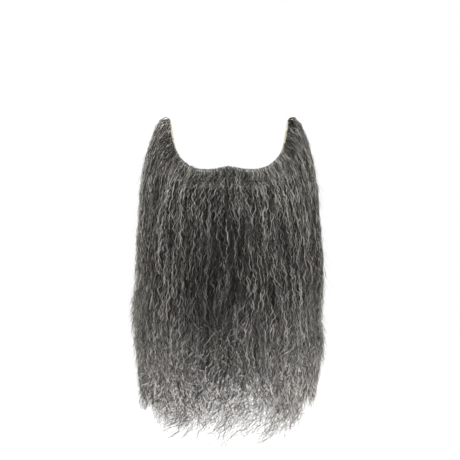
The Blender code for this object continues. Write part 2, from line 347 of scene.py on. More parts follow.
def bend_rods(path, out, radius, lane, span):
    """Copies of the rod on paths with the same number of points: vertices, faces and map."""
    copies, points = path.shape[:2]
    step, turn, wide, faces, u, v = rod(points)
    tangent = unit(np.gradient(path, axis=1))
    normal = unit(out - tangent * (out * tangent).sum(axis=-1, keepdims=True))
    across = np.cross(tangent, normal)
    angle = (turn * math.tau)[None, :, None]
    round_it = np.cos(angle) * normal[:, step] + np.sin(angle) * across[:, step]
    thick = (radius[:, step] * wide)[..., None]
    vertices = path[:, step] + round_it * thick
    offsets = np.arange(copies)[:, None, None] * len(step)
    lane_u = (lane[:, None, None] + LANE_MARGIN + (1.0 - 2.0 * LANE_MARGIN) * u[None]) / LANES
    maps = np.stack(np.broadcast_arrays(lane_u, mix(*span, v)[None]), axis=-1)
    return vertices.reshape(-1, 3), (faces[None] + offsets).reshape(-1, 3), maps.reshape(-1, 2)


Strands = namedtuple("Strands", "path out radius lane count span")
WHOLE = (0.0, 1.0)


def strands_mesh(name, several):
    """One mesh of all the strands in several sets. Only the first count points of a path are used."""
    vertices, faces, maps = [], [], []
    total = 0
    for strands in several:
        for count in np.unique(strands.count):
            rows = np.flatnonzero(strands.count == count)
            got, joined, mapped = bend_rods(
                strands.path[rows, :count], strands.out[rows, :count],
                strands.radius[rows, :count], strands.lane[rows], strands.span,
            )
            vertices.append(got)
            faces.append(joined + total)
            maps.append(mapped)
            total += len(got)
    mesh = bpy.data.meshes.new(name)
    mesh.from_pydata(np.concatenate(vertices), [], np.concatenate(faces))
    layer = mesh.uv_layers.new(name="OFBake")
    layer.uv.foreach_set("vector", np.concatenate(maps).astype(np.float32).ravel())
    mesh.shade_smooth()
    return mesh


print("rod with 12 points:", len(rod(12)[3]), "triangles")

# %% [markdown]
# ## Shader maths as expressions
# A pattern is a chain of small sums, and wired one node at a time it is hard to read. The class below
# wraps a socket so that an ordinary Python expression adds the Math nodes. One method adds every other
# kind of node: its settings go in first, then the values or links of its sockets.

# %% Two small classes
class Value:
    """A socket in an expression: each operator adds one Math node after it."""

    def __init__(self, finish, socket):
        self.finish = finish
        self.socket = socket

    def maths(self, operation, first, second):
        return self.finish.node("ShaderNodeMath", {"operation": operation}, {0: first, 1: second})

    def __add__(self, other):
        return self.maths("ADD", self, other)

    def __rsub__(self, other):
        return self.maths("SUBTRACT", other, self)

    def __mul__(self, other):
        return self.maths("MULTIPLY", self, other)

    def __truediv__(self, other):
        return self.maths("DIVIDE", self, other)

    __radd__ = __add__
    __rmul__ = __mul__


class Finish:
    """One material with its shader, and the method that adds its nodes."""

    def __init__(self, name, **constants):
        self.material = bpy.data.materials.new(name)
        self.material.use_nodes = True
        self.tree = self.material.node_tree
        self.shader = self.tree.nodes["Principled BSDF"]
        for socket, value in constants.items():
            self.shader.inputs[socket.replace("_", " ")].default_value = value

    def node(self, kind, settings=None, inputs=None, output=0):
        made = self.tree.nodes.new(kind)
        for key, value in (settings or {}).items():
            if key == "stops":
                self.set_stops(made.color_ramp, value)
            else:
                setattr(made, key, value)
        for key, value in (inputs or {}).items():
            self.feed(made.inputs[key], value)
        return Value(self, made.outputs[output])

    def feed(self, socket, value):
        if isinstance(value, Value):
            self.tree.links.new(value.socket, socket)
        else:
            socket.default_value = value

    def set_stops(self, ramp, stops):
        for place, color in stops[2:]:
            ramp.elements.new(place)
        for element, (place, color) in zip(ramp.elements, stops):
            element.position = place
            element.color = (*color, 1.0)

    def smooth(self, value, start, end):
        """0 before start and 1 after end, with a soft change between."""
        settings = {"interpolation_type": "SMOOTHSTEP"}
        return self.node("ShaderNodeMapRange", settings, {0: value, 1: start, 2: end})

    def blend(self, mode, factor, first, second):
        settings = {"data_type": "RGBA", "blend_type": mode}
        return self.node("ShaderNodeMix", settings, {0: factor, 6: first, 7: second}, output=2)

    def map_places(self):
        """The two coordinates of the piece's own map."""
        uv = self.node("ShaderNodeUVMap", {"uv_map": "OFBake"})
        apart = self.tree.nodes.new("ShaderNodeSeparateXYZ")
        self.feed(apart.inputs[0], uv)
        return Value(self, apart.outputs[0]), Value(self, apart.outputs[1])

    def place(self, x, y, z=0.0):
        return self.node("ShaderNodeCombineXYZ", {}, {0: x, 1: y, 2: z})

    def noise(self, x, y, z=0.0, **more):
        """Soft random values over the piece's own map."""
        return self.node("ShaderNodeTexNoise", {}, {"Vector": self.place(x, y, z), "Scale": 1.0, **more})

    def ramp(self, stops, value):
        return self.node("ShaderNodeValToRGB", {"stops": stops}, {0: value})

    def brighten(self, color, value):
        return self.blend("MULTIPLY", 1.0, color, self.place(value, value, value))

    def paint(self, color):
        self.feed(self.shader.inputs["Base Color"], color)

    def dent(self, height, distance, strength):
        inputs = {"Height": height, "Distance": distance, "Strength": strength}
        self.feed(self.shader.inputs["Normal"], self.node("ShaderNodeBump", {}, inputs))


print("shader classes ready")

# %% [markdown]
# ## The hair's finish
# The beard is salt and pepper: nearly black hair, many greys and a few hairs almost white, with faint
# brown and olive tones. One material does all of it. The map gives every strand a lane from dark to light
# across and its length from root to tip along it, so the material can darken, lighten and fade a strand
# without knowing where it hangs, and the finish stays right when it is baked to an image. Towards the tips
# the strands are painted lighter: painted light on the thin ends.

# %% Salt and pepper hair
HAIR_TONES = (
    (0.00, (0.007, 0.0068, 0.006)),
    (0.35, (0.024, 0.0238, 0.021)),
    (0.58, (0.075, 0.074, 0.067)),
    (0.78, (0.175, 0.172, 0.156)),
    (0.93, (0.310, 0.307, 0.287)),
    (1.00, (0.450, 0.447, 0.425)),
)
HAIR_TINTS = (
    (0.00, (1.08, 0.98, 0.88)),
    (0.30, (0.98, 1.01, 0.97)),
    (0.50, (1.04, 0.98, 1.00)),
    (0.70, (0.97, 1.02, 0.91)),
    (1.00, (0.97, 1.01, 1.02)),
)
ROOT_COLOR = (0.33, 0.32, 0.285, 1.0)
TIP_PAINTED_LIGHT = (0.30, 0.299, 0.290, 1.0)


def hair_finish():
    finish = Finish("salt_and_pepper_hair", Roughness=0.45, Metallic=0.0, Specular_IOR_Level=0.12)
    u, v = finish.map_places()
    lane = finish.node("ShaderNodeMath", {"operation": "FLOOR"}, {0: u * LANES}) / LANES
    tinted = finish.ramp(HAIR_TINTS, finish.noise(lane * 37.0, v * 14.0))
    color = finish.blend("MULTIPLY", 1.0, finish.ramp(HAIR_TONES, lane), tinted)
    streak = finish.noise(lane * 91.0, v * 27.0, 3.0, Detail=1.0)
    color = finish.brighten(color, 0.42 + 1.38 * finish.smooth(streak, 0.38, 0.65))
    # Painted light: the strands are made lighter and paler towards their tips, for the light that the thin
    # ends catch.
    color = finish.brighten(color, 1.0 + 0.75 * finish.smooth(v, 0.64, 0.92))
    color = finish.blend("MIX", 0.28 * finish.smooth(v, 0.66, 0.84), color, TIP_PAINTED_LIGHT)
    color = finish.blend("MIX", 0.50 * finish.smooth(v, 0.86, 0.99), color, TIP_PAINTED_LIGHT)
    color = finish.blend("MIX", 0.75 * (1.0 - finish.smooth(v, 0.002, 0.022)), color, ROOT_COLOR)
    finish.paint(color)
    return finish.material


hair_material = hair_finish()
print("hair finish:", len(hair_material.node_tree.nodes), "nodes")

# %% [markdown]
# ## Combing the hair
# Hair like this was plaited wet: each strand is crimped, neighbours turn together and the ends frizz. Its
# path is worked out in steps, each an array sum over all strands of a piece at once. The strand starts at
# its root on the net, stands up a little and drops towards its line on the curtain. The line sways with
# its lock and its clump, and the crimp turns it left and right about every six millimetres, in step with
# its clump. The end goes its own way. Its tone comes from the lock, the clump and the strand, and painted
# light and shade are added to it: painted shade in the valleys between the locks and in a hollow low in
# the middle, and painted light at the sides and on the ends. Two tools share these steps: comb draws
# strands from root to tip, and drift lets short stretches run across the surface, which is most of what
# the eye sees and costs far less.

# %% Paths for the strands
HALF_CRIMP = 0.0064
CRIMP_SIDE = 0.00138
CLUMPS_IN_A_LOCK = 2
SIDE_LENGTH = 0.17
ROOT_EDGE = 0.006
LIP_RISE = 0.0022
EDGE_SHARE = 0.30
MOST_POINTS = 96
ROOT_STEP = 0.0007
BAND_DEPTH = 0.045
LOCK_TONE = 0.12
CLUMP_TONE = 0.15
TAIL_SWEEP = -0.010
OWN_TONE = 0.72
BRIGHT_SHARE = 0.12
THIN_CORNERS = 0.085
THIN_RIGHT = 0.04
LIGHT_SHARE = 0.35
LIGHT_THICK = (1.26, 1.40)
OTHER_THICK = 0.94
LIGHT_LIFT = (0.16, -0.08)
LIGHTEST_COMBED = 0.86
LIGHTEST_DRIFTING = (0.90, 0.94)
LOCK_SWAY = 0.0016
CLUMP_SWAY = 0.0012
TIP_REACH = 0.006
LIP_REACH = 0.0015
FEWEST_POINTS = 6
END_PAINTED_LIGHT = 0.18
ROOT_THICKNESS = 0.0018
SIDEBURN_THICKNESS = 0.0075
STANDING_REACH = 0.080
DRAWN_IN = 0.0065
TIP_RISE = 0.0084
TIP_LENGTHS = np.array((0.60, 0.70, 0.75, 0.78, 0.81, 0.84, 0.86, 0.88, 0.90, 0.92, 0.95))
VALLEYS = (-0.33, -0.16, 0.05, 0.27)
DEEP_VALLEY_SHADE = 0.12
VALLEY_SHADE = 0.27
POCKET_SHADE_DEPTH = 0.27
RAGGED_ENDS = 0.12


def waves(draw, count, where, period):
    """Smooth wandering between about -1 and 1, one row for each of count strands."""
    total = np.zeros(np.broadcast_shapes((count, 1), where.shape))
    for weight, share in ((0.55, 1.0), (0.30, 0.57), (0.15, 0.31)):
        phase = draw.random((count, 1))
        stretch = period * share * draw.uniform(0.8, 1.25, (count, 1))
        total = total + weight * np.sin(math.tau * (where / stretch + phase))
    return total


def crimped_heights(root, tip, half):
    """Heights down each strand: its root, then each turn of the crimp, which its clump shares."""
    first = half * np.floor(root / half - 0.4)
    turns = first[:, None] - half[:, None] * np.arange(MOST_POINTS - 1)[None, :]
    height = np.concatenate((root[:, None], root[:, None] - ROOT_STEP, turns), axis=1)
    count = np.clip(((first - tip) / half).astype(int) + 3, FEWEST_POINTS, MOST_POINTS + 1)
    turn = np.where((np.round(height / half[:, None]).astype(int) % 2) == 0, 1.0, -1.0)
    return height, count, turn


def crimp(draw, path, out, turn, size):
    """Turn the path left and right, and a little in and out, by about size at each point."""
    lateral = unit(np.cross(out, np.array((0.0, 0.0, 1.0))))
    size = size * draw.uniform(0.35, 1.45, path.shape[:2])
    path = path + lateral * (turn * size)[..., None]
    return path + out * (draw.normal(0.0, 0.75, path.shape[:2]) * size)[..., None]


def tapered(draw, radius, along, taper, start=0.4):
    """Each strand's own radius, thinner from start on towards its tip."""
    own = radius * draw.uniform(0.75, 1.25, len(along))[:, None]
    return own * (1.0 - taper * eased((along - start) / (1.0 - start)))


def leave_net(root, side, drop, line, height, inset):
    """Paths from the roots to their lines on the curtain, the way out there, and how far they are."""
    target, out = fall_point(line, height, inset)
    gone = spread(side[:, None], drop)
    flat = mix(root[:, None, :2], target[..., :2], gone[..., None])
    return np.concatenate((flat, height[..., None]), axis=-1), out, gone


def lock_at(piece, share):
    """The number of the lock at a share of the piece's width, and how far across the lock that is."""
    locks = locks_of(piece)
    lock = np.clip(np.searchsorted(locks[:, 1], share), 0, len(locks) - 1)
    return lock, (share - locks[lock, 0]) / (locks[lock, 1] - locks[lock, 0])


def clump_steps(piece):
    """Half the length of a crimp in each clump of a piece, the same for long and short strands."""
    draw = np.random.default_rng(piece.seed + 300)
    return HALF_CRIMP * draw.uniform(0.85, 1.2, piece.locks * CLUMPS_IN_A_LOCK)


def clump_tones(piece):
    """How much lighter or darker the hair of each clump is, and of its lock."""
    draw = np.random.default_rng(piece.seed + 400)
    lock = np.repeat(draw.uniform(-0.5, 0.5, piece.locks), CLUMPS_IN_A_LOCK)
    return LOCK_TONE * lock + CLUMP_TONE * draw.uniform(-0.5, 0.5, len(lock))


def clump_of(piece, share):
    """The number of the clump at a share of the piece's width."""
    lock, in_lock = lock_at(piece, share)
    clump = np.clip((in_lock * CLUMPS_IN_A_LOCK).astype(int), 0, CLUMPS_IN_A_LOCK - 1)
    return lock * CLUMPS_IN_A_LOCK + clump


def clump_middles(piece):
    """Where the middle of each clump lies, from side to side."""
    locks = locks_of(piece)
    share = (np.arange(CLUMPS_IN_A_LOCK) + 0.5) / CLUMPS_IN_A_LOCK
    middles = locks[:, :1] + (locks[:, 1:2] - locks[:, :1]) * share
    return mix(piece.first_side, piece.last_side, middles.ravel())


def clump_sways(piece, clump, height):
    """How far a clump sways sideways at each height, and how closely it gathers there."""
    draw = np.random.default_rng(piece.seed + 500)
    lock_phase = np.repeat(draw.random(piece.locks), CLUMPS_IN_A_LOCK)[clump][:, None]
    clump_phase = draw.random(piece.locks * CLUMPS_IN_A_LOCK)[clump][:, None]
    lock_sway = np.sin(math.tau * (height / 0.115 + lock_phase))
    lock_sway = lock_sway + 0.5 * np.sin(math.tau * (height / 0.067 + 3.0 * lock_phase))
    clump_sway = np.sin(math.tau * (height / 0.083 + clump_phase))
    clump_sway = clump_sway + 0.6 * np.sin(math.tau * (height / 0.047 + 5.0 * clump_phase))
    breathing = 0.5 + 0.5 * np.sin(math.tau * (height / 0.098 + 3.0 * clump_phase))
    return LOCK_SWAY * lock_sway + CLUMP_SWAY * clump_sway, 0.15 + 0.50 * breathing


def valley_shade(piece, share):
    """Painted shade: darker towards the edges of each lock, where little light gets in."""
    _, in_lock = lock_at(piece, share)
    return VALLEY_SHADE * (0.25 - np.abs(2.0 * in_lock - 1.0) ** 3)


def grouped_bias(piece, clump, share, side):
    """A strand's tone from its clump and lock, plus painted shade in the lock's valleys and painted light and
    shade by place. Clumps differ less at the sides.
    """
    together = clump_tones(piece)[clump] + valley_shade(piece, share)
    return together * mix(1.0, 0.45, eased((np.abs(side) - 0.35) / 0.2)) + painted_light_and_shade(side)


def painted_light_and_shade(side):
    """Painted light and shade: how much lighter the hair is here, painted shade left of the middle, in bands
    and in the valleys, painted light at the sides and at the sideburns' points.
    """
    bands = np.sin(math.tau * (side / 0.21 + 0.15)) + 0.8 * np.sin(math.tau * (side / 0.087 + 0.45))
    middle = BAND_DEPTH * bands - 0.02 - 0.17 * np.exp(-(((side + 0.14) / 0.25) ** 2))
    for valley in VALLEYS:
        middle = middle - DEEP_VALLEY_SHADE * np.exp(-(((side - valley) / 0.028) ** 2))
    beside = 0.03 * eased((np.abs(side) - 0.25) / 0.6) + 0.04 * eased(side / 0.4)
    points = 0.06 * eased((-side - 0.70) / 0.15) + 0.10 * eased((np.abs(side) - 0.80) / 0.10)
    return middle + beside + points


def lanes_for(tone):
    return np.clip((tone * LANES).astype(int), 0, LANES - 1)


def lock_lift(piece, share):
    """The ridge of the lock at a share of the piece's width."""
    lock, in_lock = lock_at(piece, np.clip(share, 0.0, 1.0))
    return locks_of(piece)[lock, 3] * np.sin(math.pi * in_lock)


def stand_off(path, out, side, drop, depth):
    """Lift the hair off the net near its roots, most at the sideburns' points, and draw the sides in."""
    beside = eased((np.abs(side) - 0.55) / 0.35)
    standing = mix(ROOT_THICKNESS, SIDEBURN_THICKNESS, beside) * (1.0 - depth)
    standing = standing[:, None] * (1.0 - np.exp(-drop / 0.005)) * np.exp(-((drop / STANDING_REACH) ** 2))
    drawn_in = DRAWN_IN * beside[:, None] * eased((-path[..., 2] - 0.08) / 0.10)
    path = path + out * (standing - drawn_in)[..., None]
    at_tip = TIP_RISE * eased((np.abs(side) - 0.75) / 0.2)[:, None]
    at_lip = LIP_RISE * (1.0 - eased((np.abs(side) - 0.5) / 0.25))[:, None]
    for rise, reach in ((at_tip, TIP_REACH), (at_lip, LIP_REACH)):
        path[..., 2] += rise * drop / reach * np.exp(1.0 - drop / reach)
    return path


def corner_share(side):
    """The coat thins out at both lower corners and right of the middle, where few hairs are long."""
    away = np.abs(side)
    corners = THIN_CORNERS * eased((away - 0.47) / 0.25) * (1.0 - eased((away - 0.70) / 0.12))
    return 1.0 - corners - THIN_RIGHT * eased((side - 0.10) / 0.25) * (1.0 - eased((side - 0.50) / 0.25))


def comb(
    piece, draw, amount, near, far, root_power, radius, stray, lengths=None, shares=(0.0, 1.0), light=0.0
):
    """Strands that hang between the depths near and far, where 0 is the front and 1 the back."""
    share = mix(*shares, (np.arange(amount) + draw.random(amount)) / amount)
    lock, in_lock = lock_at(piece, share)
    first, last, finger, lift = locks_of(piece)[lock].T
    clump = clump_of(piece, share)
    width = piece.last_side - piece.first_side
    side = piece.first_side + width * share
    lock_side = piece.first_side + width * (first + last) / 2.0
    clump_side = clump_middles(piece)[clump]

    at_edge = EDGE_SHARE * mix(0.90, 1.0, eased((np.abs(side) - 0.45) / 0.2))
    rooted = np.where(draw.random(amount) < at_edge, 0.0, draw.random(amount) ** root_power)
    depth = mix(near, far, 0.55 * rooted + 0.45 * draw.random(amount))
    across = mix(ROOT_EDGE, hair_stop(side), rooted) + draw.normal(0.0, 0.008, amount)
    root = net_point(side, across, LACE_WALL * 0.5)
    hem = -(fall_length(side) - LONGEST_FINGER * FREE_SHARE + finger) * corner_share(side)
    level = draw.random(amount) * (len(TIP_LENGTHS) - 1)
    tip = hem * np.interp(level, np.arange(len(TIP_LENGTHS)), TIP_LENGTHS)
    if lengths:
        tip = np.maximum(tip, root[:, 2] - draw.uniform(*lengths, amount))

    half = clump_steps(piece)[clump]
    height, count, turn = crimped_heights(root[:, 2], tip, half)
    drop = root[:, 2][:, None] - height
    along = drop / (root[:, 2] - tip)[:, None]

    sway, gather = clump_sways(piece, clump, height)
    own_sway = waves(draw, amount, height, 0.060)
    line = side[:, None] + (clump_side - side)[:, None] * gather * eased(drop / 0.03)
    line = line + (lock_side[:, None] - line) * 0.20 * eased((along - 0.6) / 0.4)
    loose = eased(drop / 0.05)
    wander = sway + (0.0014 + 0.0050 * along**2) * own_sway
    astray = draw.random(amount) < stray
    slant = np.where(astray, draw.normal(0.0, 0.085, amount), draw.normal(0.0, 0.016, amount))
    wander = wander * loose + slant[:, None] * drop
    tail = eased((along - 0.68) / 0.32)
    sweep = draw.normal(0.0, 0.008, (piece.locks, 1))[lock] + draw.normal(0.0, 0.007, (amount, 1))
    sweep = sweep + TAIL_SWEEP * eased((0.35 - side) / 0.5)[:, None]
    wander = wander + tail * (0.0055 * waves(draw, amount, height, 0.040) + sweep * tail)
    line = line + wander / SIDE_LENGTH

    inset = depth[:, None] * thickness_at(height) + 0.0014 * waves(draw, amount, height, 0.05) * loose
    inset = inset + tail * 0.004 * waves(draw, amount, height, 0.05)
    path, out, gone = leave_net(root, side, drop, line, height, inset)
    ridge_here = lift * np.sin(math.pi * in_lock) * (1.0 - depth)
    path = path + out * (ridge_here[:, None] * gone**2)[..., None]
    path = stand_off(path, out, side, drop, np.maximum(depth, 0.0))
    size = CRIMP_SIDE * (0.35 + 0.65 * eased(drop / 0.007)) * (1.0 + 0.4 * tail)
    path = crimp(draw, path, out, turn, size)

    thick = tapered(draw, radius, along, 0.55, 0.5)
    bias = grouped_bias(piece, clump, share, side)
    own_tone = OWN_TONE * (1.0 - 0.05 * eased((np.abs(side) - 0.6) / 0.3))
    tone = 0.35 + own_tone * draw.uniform(-0.5, 0.5, amount) + bias
    bright = 0.80 + 0.10 * draw.random(amount) + 0.5 * bias
    tone = np.where(draw.random(amount) < BRIGHT_SHARE, bright, tone)
    beside_tuft = 1.0 - 0.9 * np.exp(-(((side - 0.02) / 0.045) ** 2))
    tone = tone + light * (1.0 - eased((np.abs(side) - 0.40) / 0.25)) * beside_tuft
    tone = np.minimum(tone, LIGHTEST_COMBED)
    return Strands(path, out, thick, lanes_for(tone), count, WHOLE)


def swirl(side, height):
    """Which way the ends sweep: neighbours together, mostly down and to the left."""
    first = np.sin(math.tau * (side / 0.31 + height / 0.080))
    second = np.sin(math.tau * (side / 0.17 - height / 0.055 + 0.3))
    return -0.22 * eased((0.45 - side) / 0.5) + 0.34 * first + 0.22 * second


def drift(
    piece, draw, amount, top, bottom, lengths, lean, curl, bury, proud, radius, tone, span,
    shares=(0.0, 1.0), tilt=0.0, sweep=0.0, fine=1.0, reach=1.015, tied=0.0, bunches=0, taper=0.6
):
    """Short stretches that cross the surface: they come up from inside at bury and end at proud."""
    share = draw.uniform(*shares, amount)
    heading = draw.normal(tilt, lean, amount)
    if bunches:
        bunch = draw.integers(0, bunches, amount)
        share = draw.uniform(*shares, bunches)[bunch] + draw.normal(0.0, 0.018, amount)
        share = np.clip(share, 0.0, 1.0)
        heading = draw.normal(tilt, lean, bunches)[bunch] + draw.normal(0.0, 0.12, amount)
    side = mix(piece.first_side, piece.last_side, share)
    edge = net_point(side, ROOT_EDGE, LACE_WALL)
    start = mix(top, bottom, draw.random(amount))
    start = np.minimum(start, edge[:, 2] - 0.006)
    length = draw.uniform(*lengths, amount)
    clump = clump_of(piece, share)
    step = clump_steps(piece)[clump] * fine
    start = step * np.round(start / step)
    points = int(max(lengths) / step.min()) + 3
    count = np.clip((length / step).astype(int) + 1, FEWEST_POINTS, points)
    gone_by = step[:, None] * np.arange(points)
    along = gone_by / length[:, None]
    angle = heading[:, None] + curl * waves(draw, amount, gone_by, 0.045)
    angle = angle + sweep * swirl(side[:, None], start[:, None] - gone_by)
    lateral = np.cumsum(step[:, None] * np.sin(angle), axis=1)
    height = start[:, None] - np.cumsum(step[:, None] * np.cos(angle), axis=1)
    last = count[:, None] - 1
    end = np.take_along_axis(height, last, axis=1)[:, 0]
    reached = np.clip(side + np.take_along_axis(lateral, last, axis=1)[:, 0] / SIDE_LENGTH, -0.80, 0.80)
    lowest = fall_length(reached) * (0.25 + 0.75 * corner_share(reached)) * reach
    lowest = lowest * (1.0 - RAGGED_ENDS * draw.random(amount) ** 2)
    raised = step * np.ceil(np.maximum(-lowest - end, 0.0) / step)
    start, height = start + raised, height + raised[:, None]
    drop = np.maximum(edge[:, None, 2] - height, 0.0)
    sway, gather = clump_sways(piece, clump, height)
    line = side[:, None] + lateral / SIDE_LENGTH
    together = (clump_middles(piece)[clump] - side)[:, None] * gather + sway / SIDE_LENGTH
    line = line + tied * eased(drop / 0.03) * together
    in_and_out = bury * (1.0 - eased(gone_by / 0.012)) + proud * along**2
    inset = in_and_out + 0.0008 * waves(draw, amount, gone_by, 0.03)
    path, out, gone = leave_net(edge, side, drop, line, height, inset)
    share_now = (line - piece.first_side) / (piece.last_side - piece.first_side)
    path = path + out * (lock_lift(piece, share_now) * gone**2)[..., None]
    path = stand_off(path, out, side, drop, np.zeros(amount))
    turn = np.where((np.round(start / step)[:, None] + np.arange(points)) % 2 == 0, 1.0, -1.0)
    path = crimp(draw, path, out, turn, CRIMP_SIDE * fine * np.ones_like(along))
    thick = tapered(draw, radius, along, taper)
    light = draw.random(amount) < LIGHT_SHARE
    low_down = eased((-start - 0.10) / 0.06)
    thick = thick * np.where(light, mix(*LIGHT_THICK, low_down), OTHER_THICK)[:, None]
    light_tone = draw.uniform(tone[1] - 0.12, tone[1] + 0.02, amount)
    tone = np.where(light, light_tone, draw.uniform(*tone, amount) - 0.10)
    bias = grouped_bias(piece, clump, share, side)
    # Painted light: strands that start low are made lighter, and the cap on their tone rises low down, for
    # the light on the ends.
    tone = tone + bias * np.where(light, 0.35, 1.0) + END_PAINTED_LIGHT * eased((-start - 0.16) / 0.12)
    tone = tone + light * mix(*LIGHT_LIFT, eased((np.abs(side) - 0.5) / 0.2))
    middle = start - length / 2.0
    # Painted shade: a dark hollow low left of the middle, where the hair falls inwards. The hair is also
    # lighter low on the right.
    pocket_shade = np.exp(-(((side + 0.14) / 0.15) ** 2) - ((middle + 0.185) / 0.05) ** 2)
    tone = tone - POCKET_SHADE_DEPTH * pocket_shade + 0.10 * eased((side - 0.25) / 0.2) * eased((-middle - 0.20) / 0.05)
    tone = np.minimum(tone, mix(*LIGHTEST_DRIFTING, eased((-start - 0.16) / 0.08)))
    return Strands(path, out, thick, lanes_for(tone), count, span)


def finish_piece(name, mesh, material, slot, *nodes):
    """Put a finished mesh on the beard's one body, in place of the solids that it stands for."""
    mesh.materials.clear()
    mesh.materials.append(material)
    piece = add_object(name, mesh)
    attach(piece, "root")
    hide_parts(*nodes)
    print(f"{name}: {sum(len(face.vertices) - 2 for face in mesh.polygons)} triangles")


def finish_hair(name, sets, node):
    finish_piece(name, strands_mesh(name, sets), hair_material, "hair", node)


print("shortest and longest rod:", FEWEST_POINTS, "and", MOST_POINTS + 1, "points")

# %% [markdown]
# ## The fall
# From ear to ear the beard shows several kinds of hair at once. One kind of strand would look combed and
# flat, so each of the five pieces is built in sets: long strands at the front, short ones at the roots
# and a thin layer behind. Over them drift the surface hair, the tangled ends, the low frizz, a thin
# fringe, wisps in bunches that hang past the hem, and single white hairs. Both sideburns get more hair
# at their points and a rim.

# %% Grow the fall
# Columns: strands, nearest and furthest depth, how the roots crowd the edge, radius, strays, lengths
FRONT = (225, -0.06, 0.26, 1.5, 0.00026, 0.10)
ROOTS = (320, -0.08, 0.05, 2.2, 0.00023, 0.20, (0.007, 0.028))
BACK = (62, 0.75, 1.0, 0.35, 0.00034, 0.15)
POINTS = (190, -0.10, 0.60, 1.0, 0.00021, 0.3, (0.015, 0.060))
RIM = (70, 0.0, 1.0, 1.0, 0.00034, 0.15)
# Columns: strands, highest and lowest start, lengths, lean, curl, depths at start and end, radius, tones,
# span of the map
# The sets that start lower are given lighter tones: painted light on the thin ends, which catch more light
# than the hair above.
SURFACE = (380, 0.070, -0.230, (0.060, 0.130), 0.11, 0.24, 0.003, 0.001, 0.00023, (0.00, 0.80), (0.10, 0.34))
ENDS = (360, -0.165, -0.255, (0.035, 0.070), 0.36, 0.80, 0.003, -0.001, 0.00028, (0.03, 0.90), (0.50, 0.66))
LOW = (330, -0.205, -0.290, (0.025, 0.055), 0.60, 1.10, 0.003, -0.001, 0.00026, (0.20, 0.97), (0.66, 0.86))
FRINGE = (180, -0.240, -0.315, (0.030, 0.065), 0.38, 1.05, 0.006, 0.004, 0.00018, (0.40, 0.94), (0.66, 0.82))
WISPS = (110, -0.275, -0.318, (0.045, 0.080), 0.22, 0.55, 0.006, 0.001, 0.00020, (0.26, 0.78), (0.54, 0.70))
WHITE = (60, 0.060, -0.240, (0.050, 0.110), 0.20, 0.35, 0.003, -0.001, 0.00018, (0.82, 0.94), (0.30, 0.36))
FRINGE_TILT = {
    "sideburn_hair_left": -0.20, "cheek_hair_left": -0.75, "chin_hair": -0.65, "cheek_hair_right": -0.40,
}
POINT_SHARES = {"sideburn_hair_left": (0.0, 0.14), "sideburn_hair_right": (0.86, 1.0)}
RIM_SHARES = {"sideburn_hair_left": (0.0, 0.035), "sideburn_hair_right": (0.965, 1.0)}
for piece in FALL_PIECES:
    draw = np.random.default_rng(piece.seed)
    tilt = FRINGE_TILT.get(piece.name, 0.10)
    sets = [
        comb(piece, draw, *FRONT),
        comb(piece, draw, *ROOTS, light=0.36),
        comb(piece, draw, *BACK),
        drift(piece, draw, *SURFACE, fine=0.82, tied=0.65),
        drift(piece, draw, *ENDS, sweep=0.55, fine=0.8, tied=0.2),
        drift(piece, draw, *LOW, sweep=0.7, fine=0.75),
        drift(piece, draw, *FRINGE, tilt=tilt, sweep=0.8, fine=0.8, taper=0.45),
        drift(piece, draw, *WISPS, tilt=1.2 * tilt, sweep=0.2, fine=0.8, reach=1.065, bunches=9, taper=0.35),
        drift(piece, draw, *WHITE),
    ]
    if piece.name in POINT_SHARES:
        sets.append(comb(piece, draw, *POINTS, shares=POINT_SHARES[piece.name]))
        sets.append(comb(piece, draw, *RIM, shares=RIM_SHARES[piece.name]))
    finish_hair(piece.name + "_strands", sets, piece.name)

# %% [markdown]
# ## The undercoat
# Between the strands a real beard shows more hair, in its own shade. Modelling all of it would cost
# millions of faces, so a closed, darker coat fills the middle of the fall: its near-black colour paints
# the shade deep inside the hair along with the hair's own dark tone, and near the hem it is painted paler,
# painted light on the thinning ends. A grid is bent to its front, and the back is extruded from it, which
# closes it all round. Its hem is ragged and ends well above the tips, so the light comes through the ends
# as it does on the real one.

# %% Bend the undercoat
UNDERCOAT_FRONT = 0.22
UNDERCOAT_BACK = 0.80
UNDERCOAT_COLUMNS = 52
UNDERCOAT_ROWS = 32
ROOT_ROWS = 5
UNDERCOAT_EDGE = 0.045
LIP_EDGE = 0.015
RAGGED_HEM = (0.70, 0.82)
ROOT_SHADE = (0.16, 0.155, 0.14, 1.0)


def undercoat_finish():
    finish = Finish("undercoat", Roughness=0.8, Metallic=0.0, Specular_IOR_Level=0.08)
    u, v = finish.map_places()
    bent = finish.noise(u * 9.0, v * 7.0)
    zigzag = finish.node("ShaderNodeMath", {"operation": "SINE"}, {0: v * 190.0 + bent * 9.0})
    streak = finish.noise(u * 60.0 + bent * 4.0 + zigzag * 0.3, v * 9.0, Detail=3.0)
    # Near-black colours: the dark hair deep in the fall with its shade painted in.
    stops = ((0.0, (0.004, 0.004, 0.0035)), (0.48, (0.010, 0.0098, 0.009)), (0.70, (0.085, 0.083, 0.076)))
    # Paler colours towards the hem: painted light on the thin ends.
    hem_light_stops = ((0.0, (0.030, 0.029, 0.026)), (0.48, (0.110, 0.108, 0.10)), (0.70, (0.42, 0.417, 0.40)))
    hem_painted_light = finish.smooth(v + 0.40 * bent, 0.82, 1.12)
    color = finish.blend("MIX", hem_painted_light, finish.ramp(stops, streak), finish.ramp(hem_light_stops, streak))
    color = finish.blend("MIX", 1.0 - finish.smooth(v, 0.015, 0.060), color, ROOT_SHADE)
    finish.paint(color)
    finish.dent(streak, 0.0015, 0.8)
    return finish.material


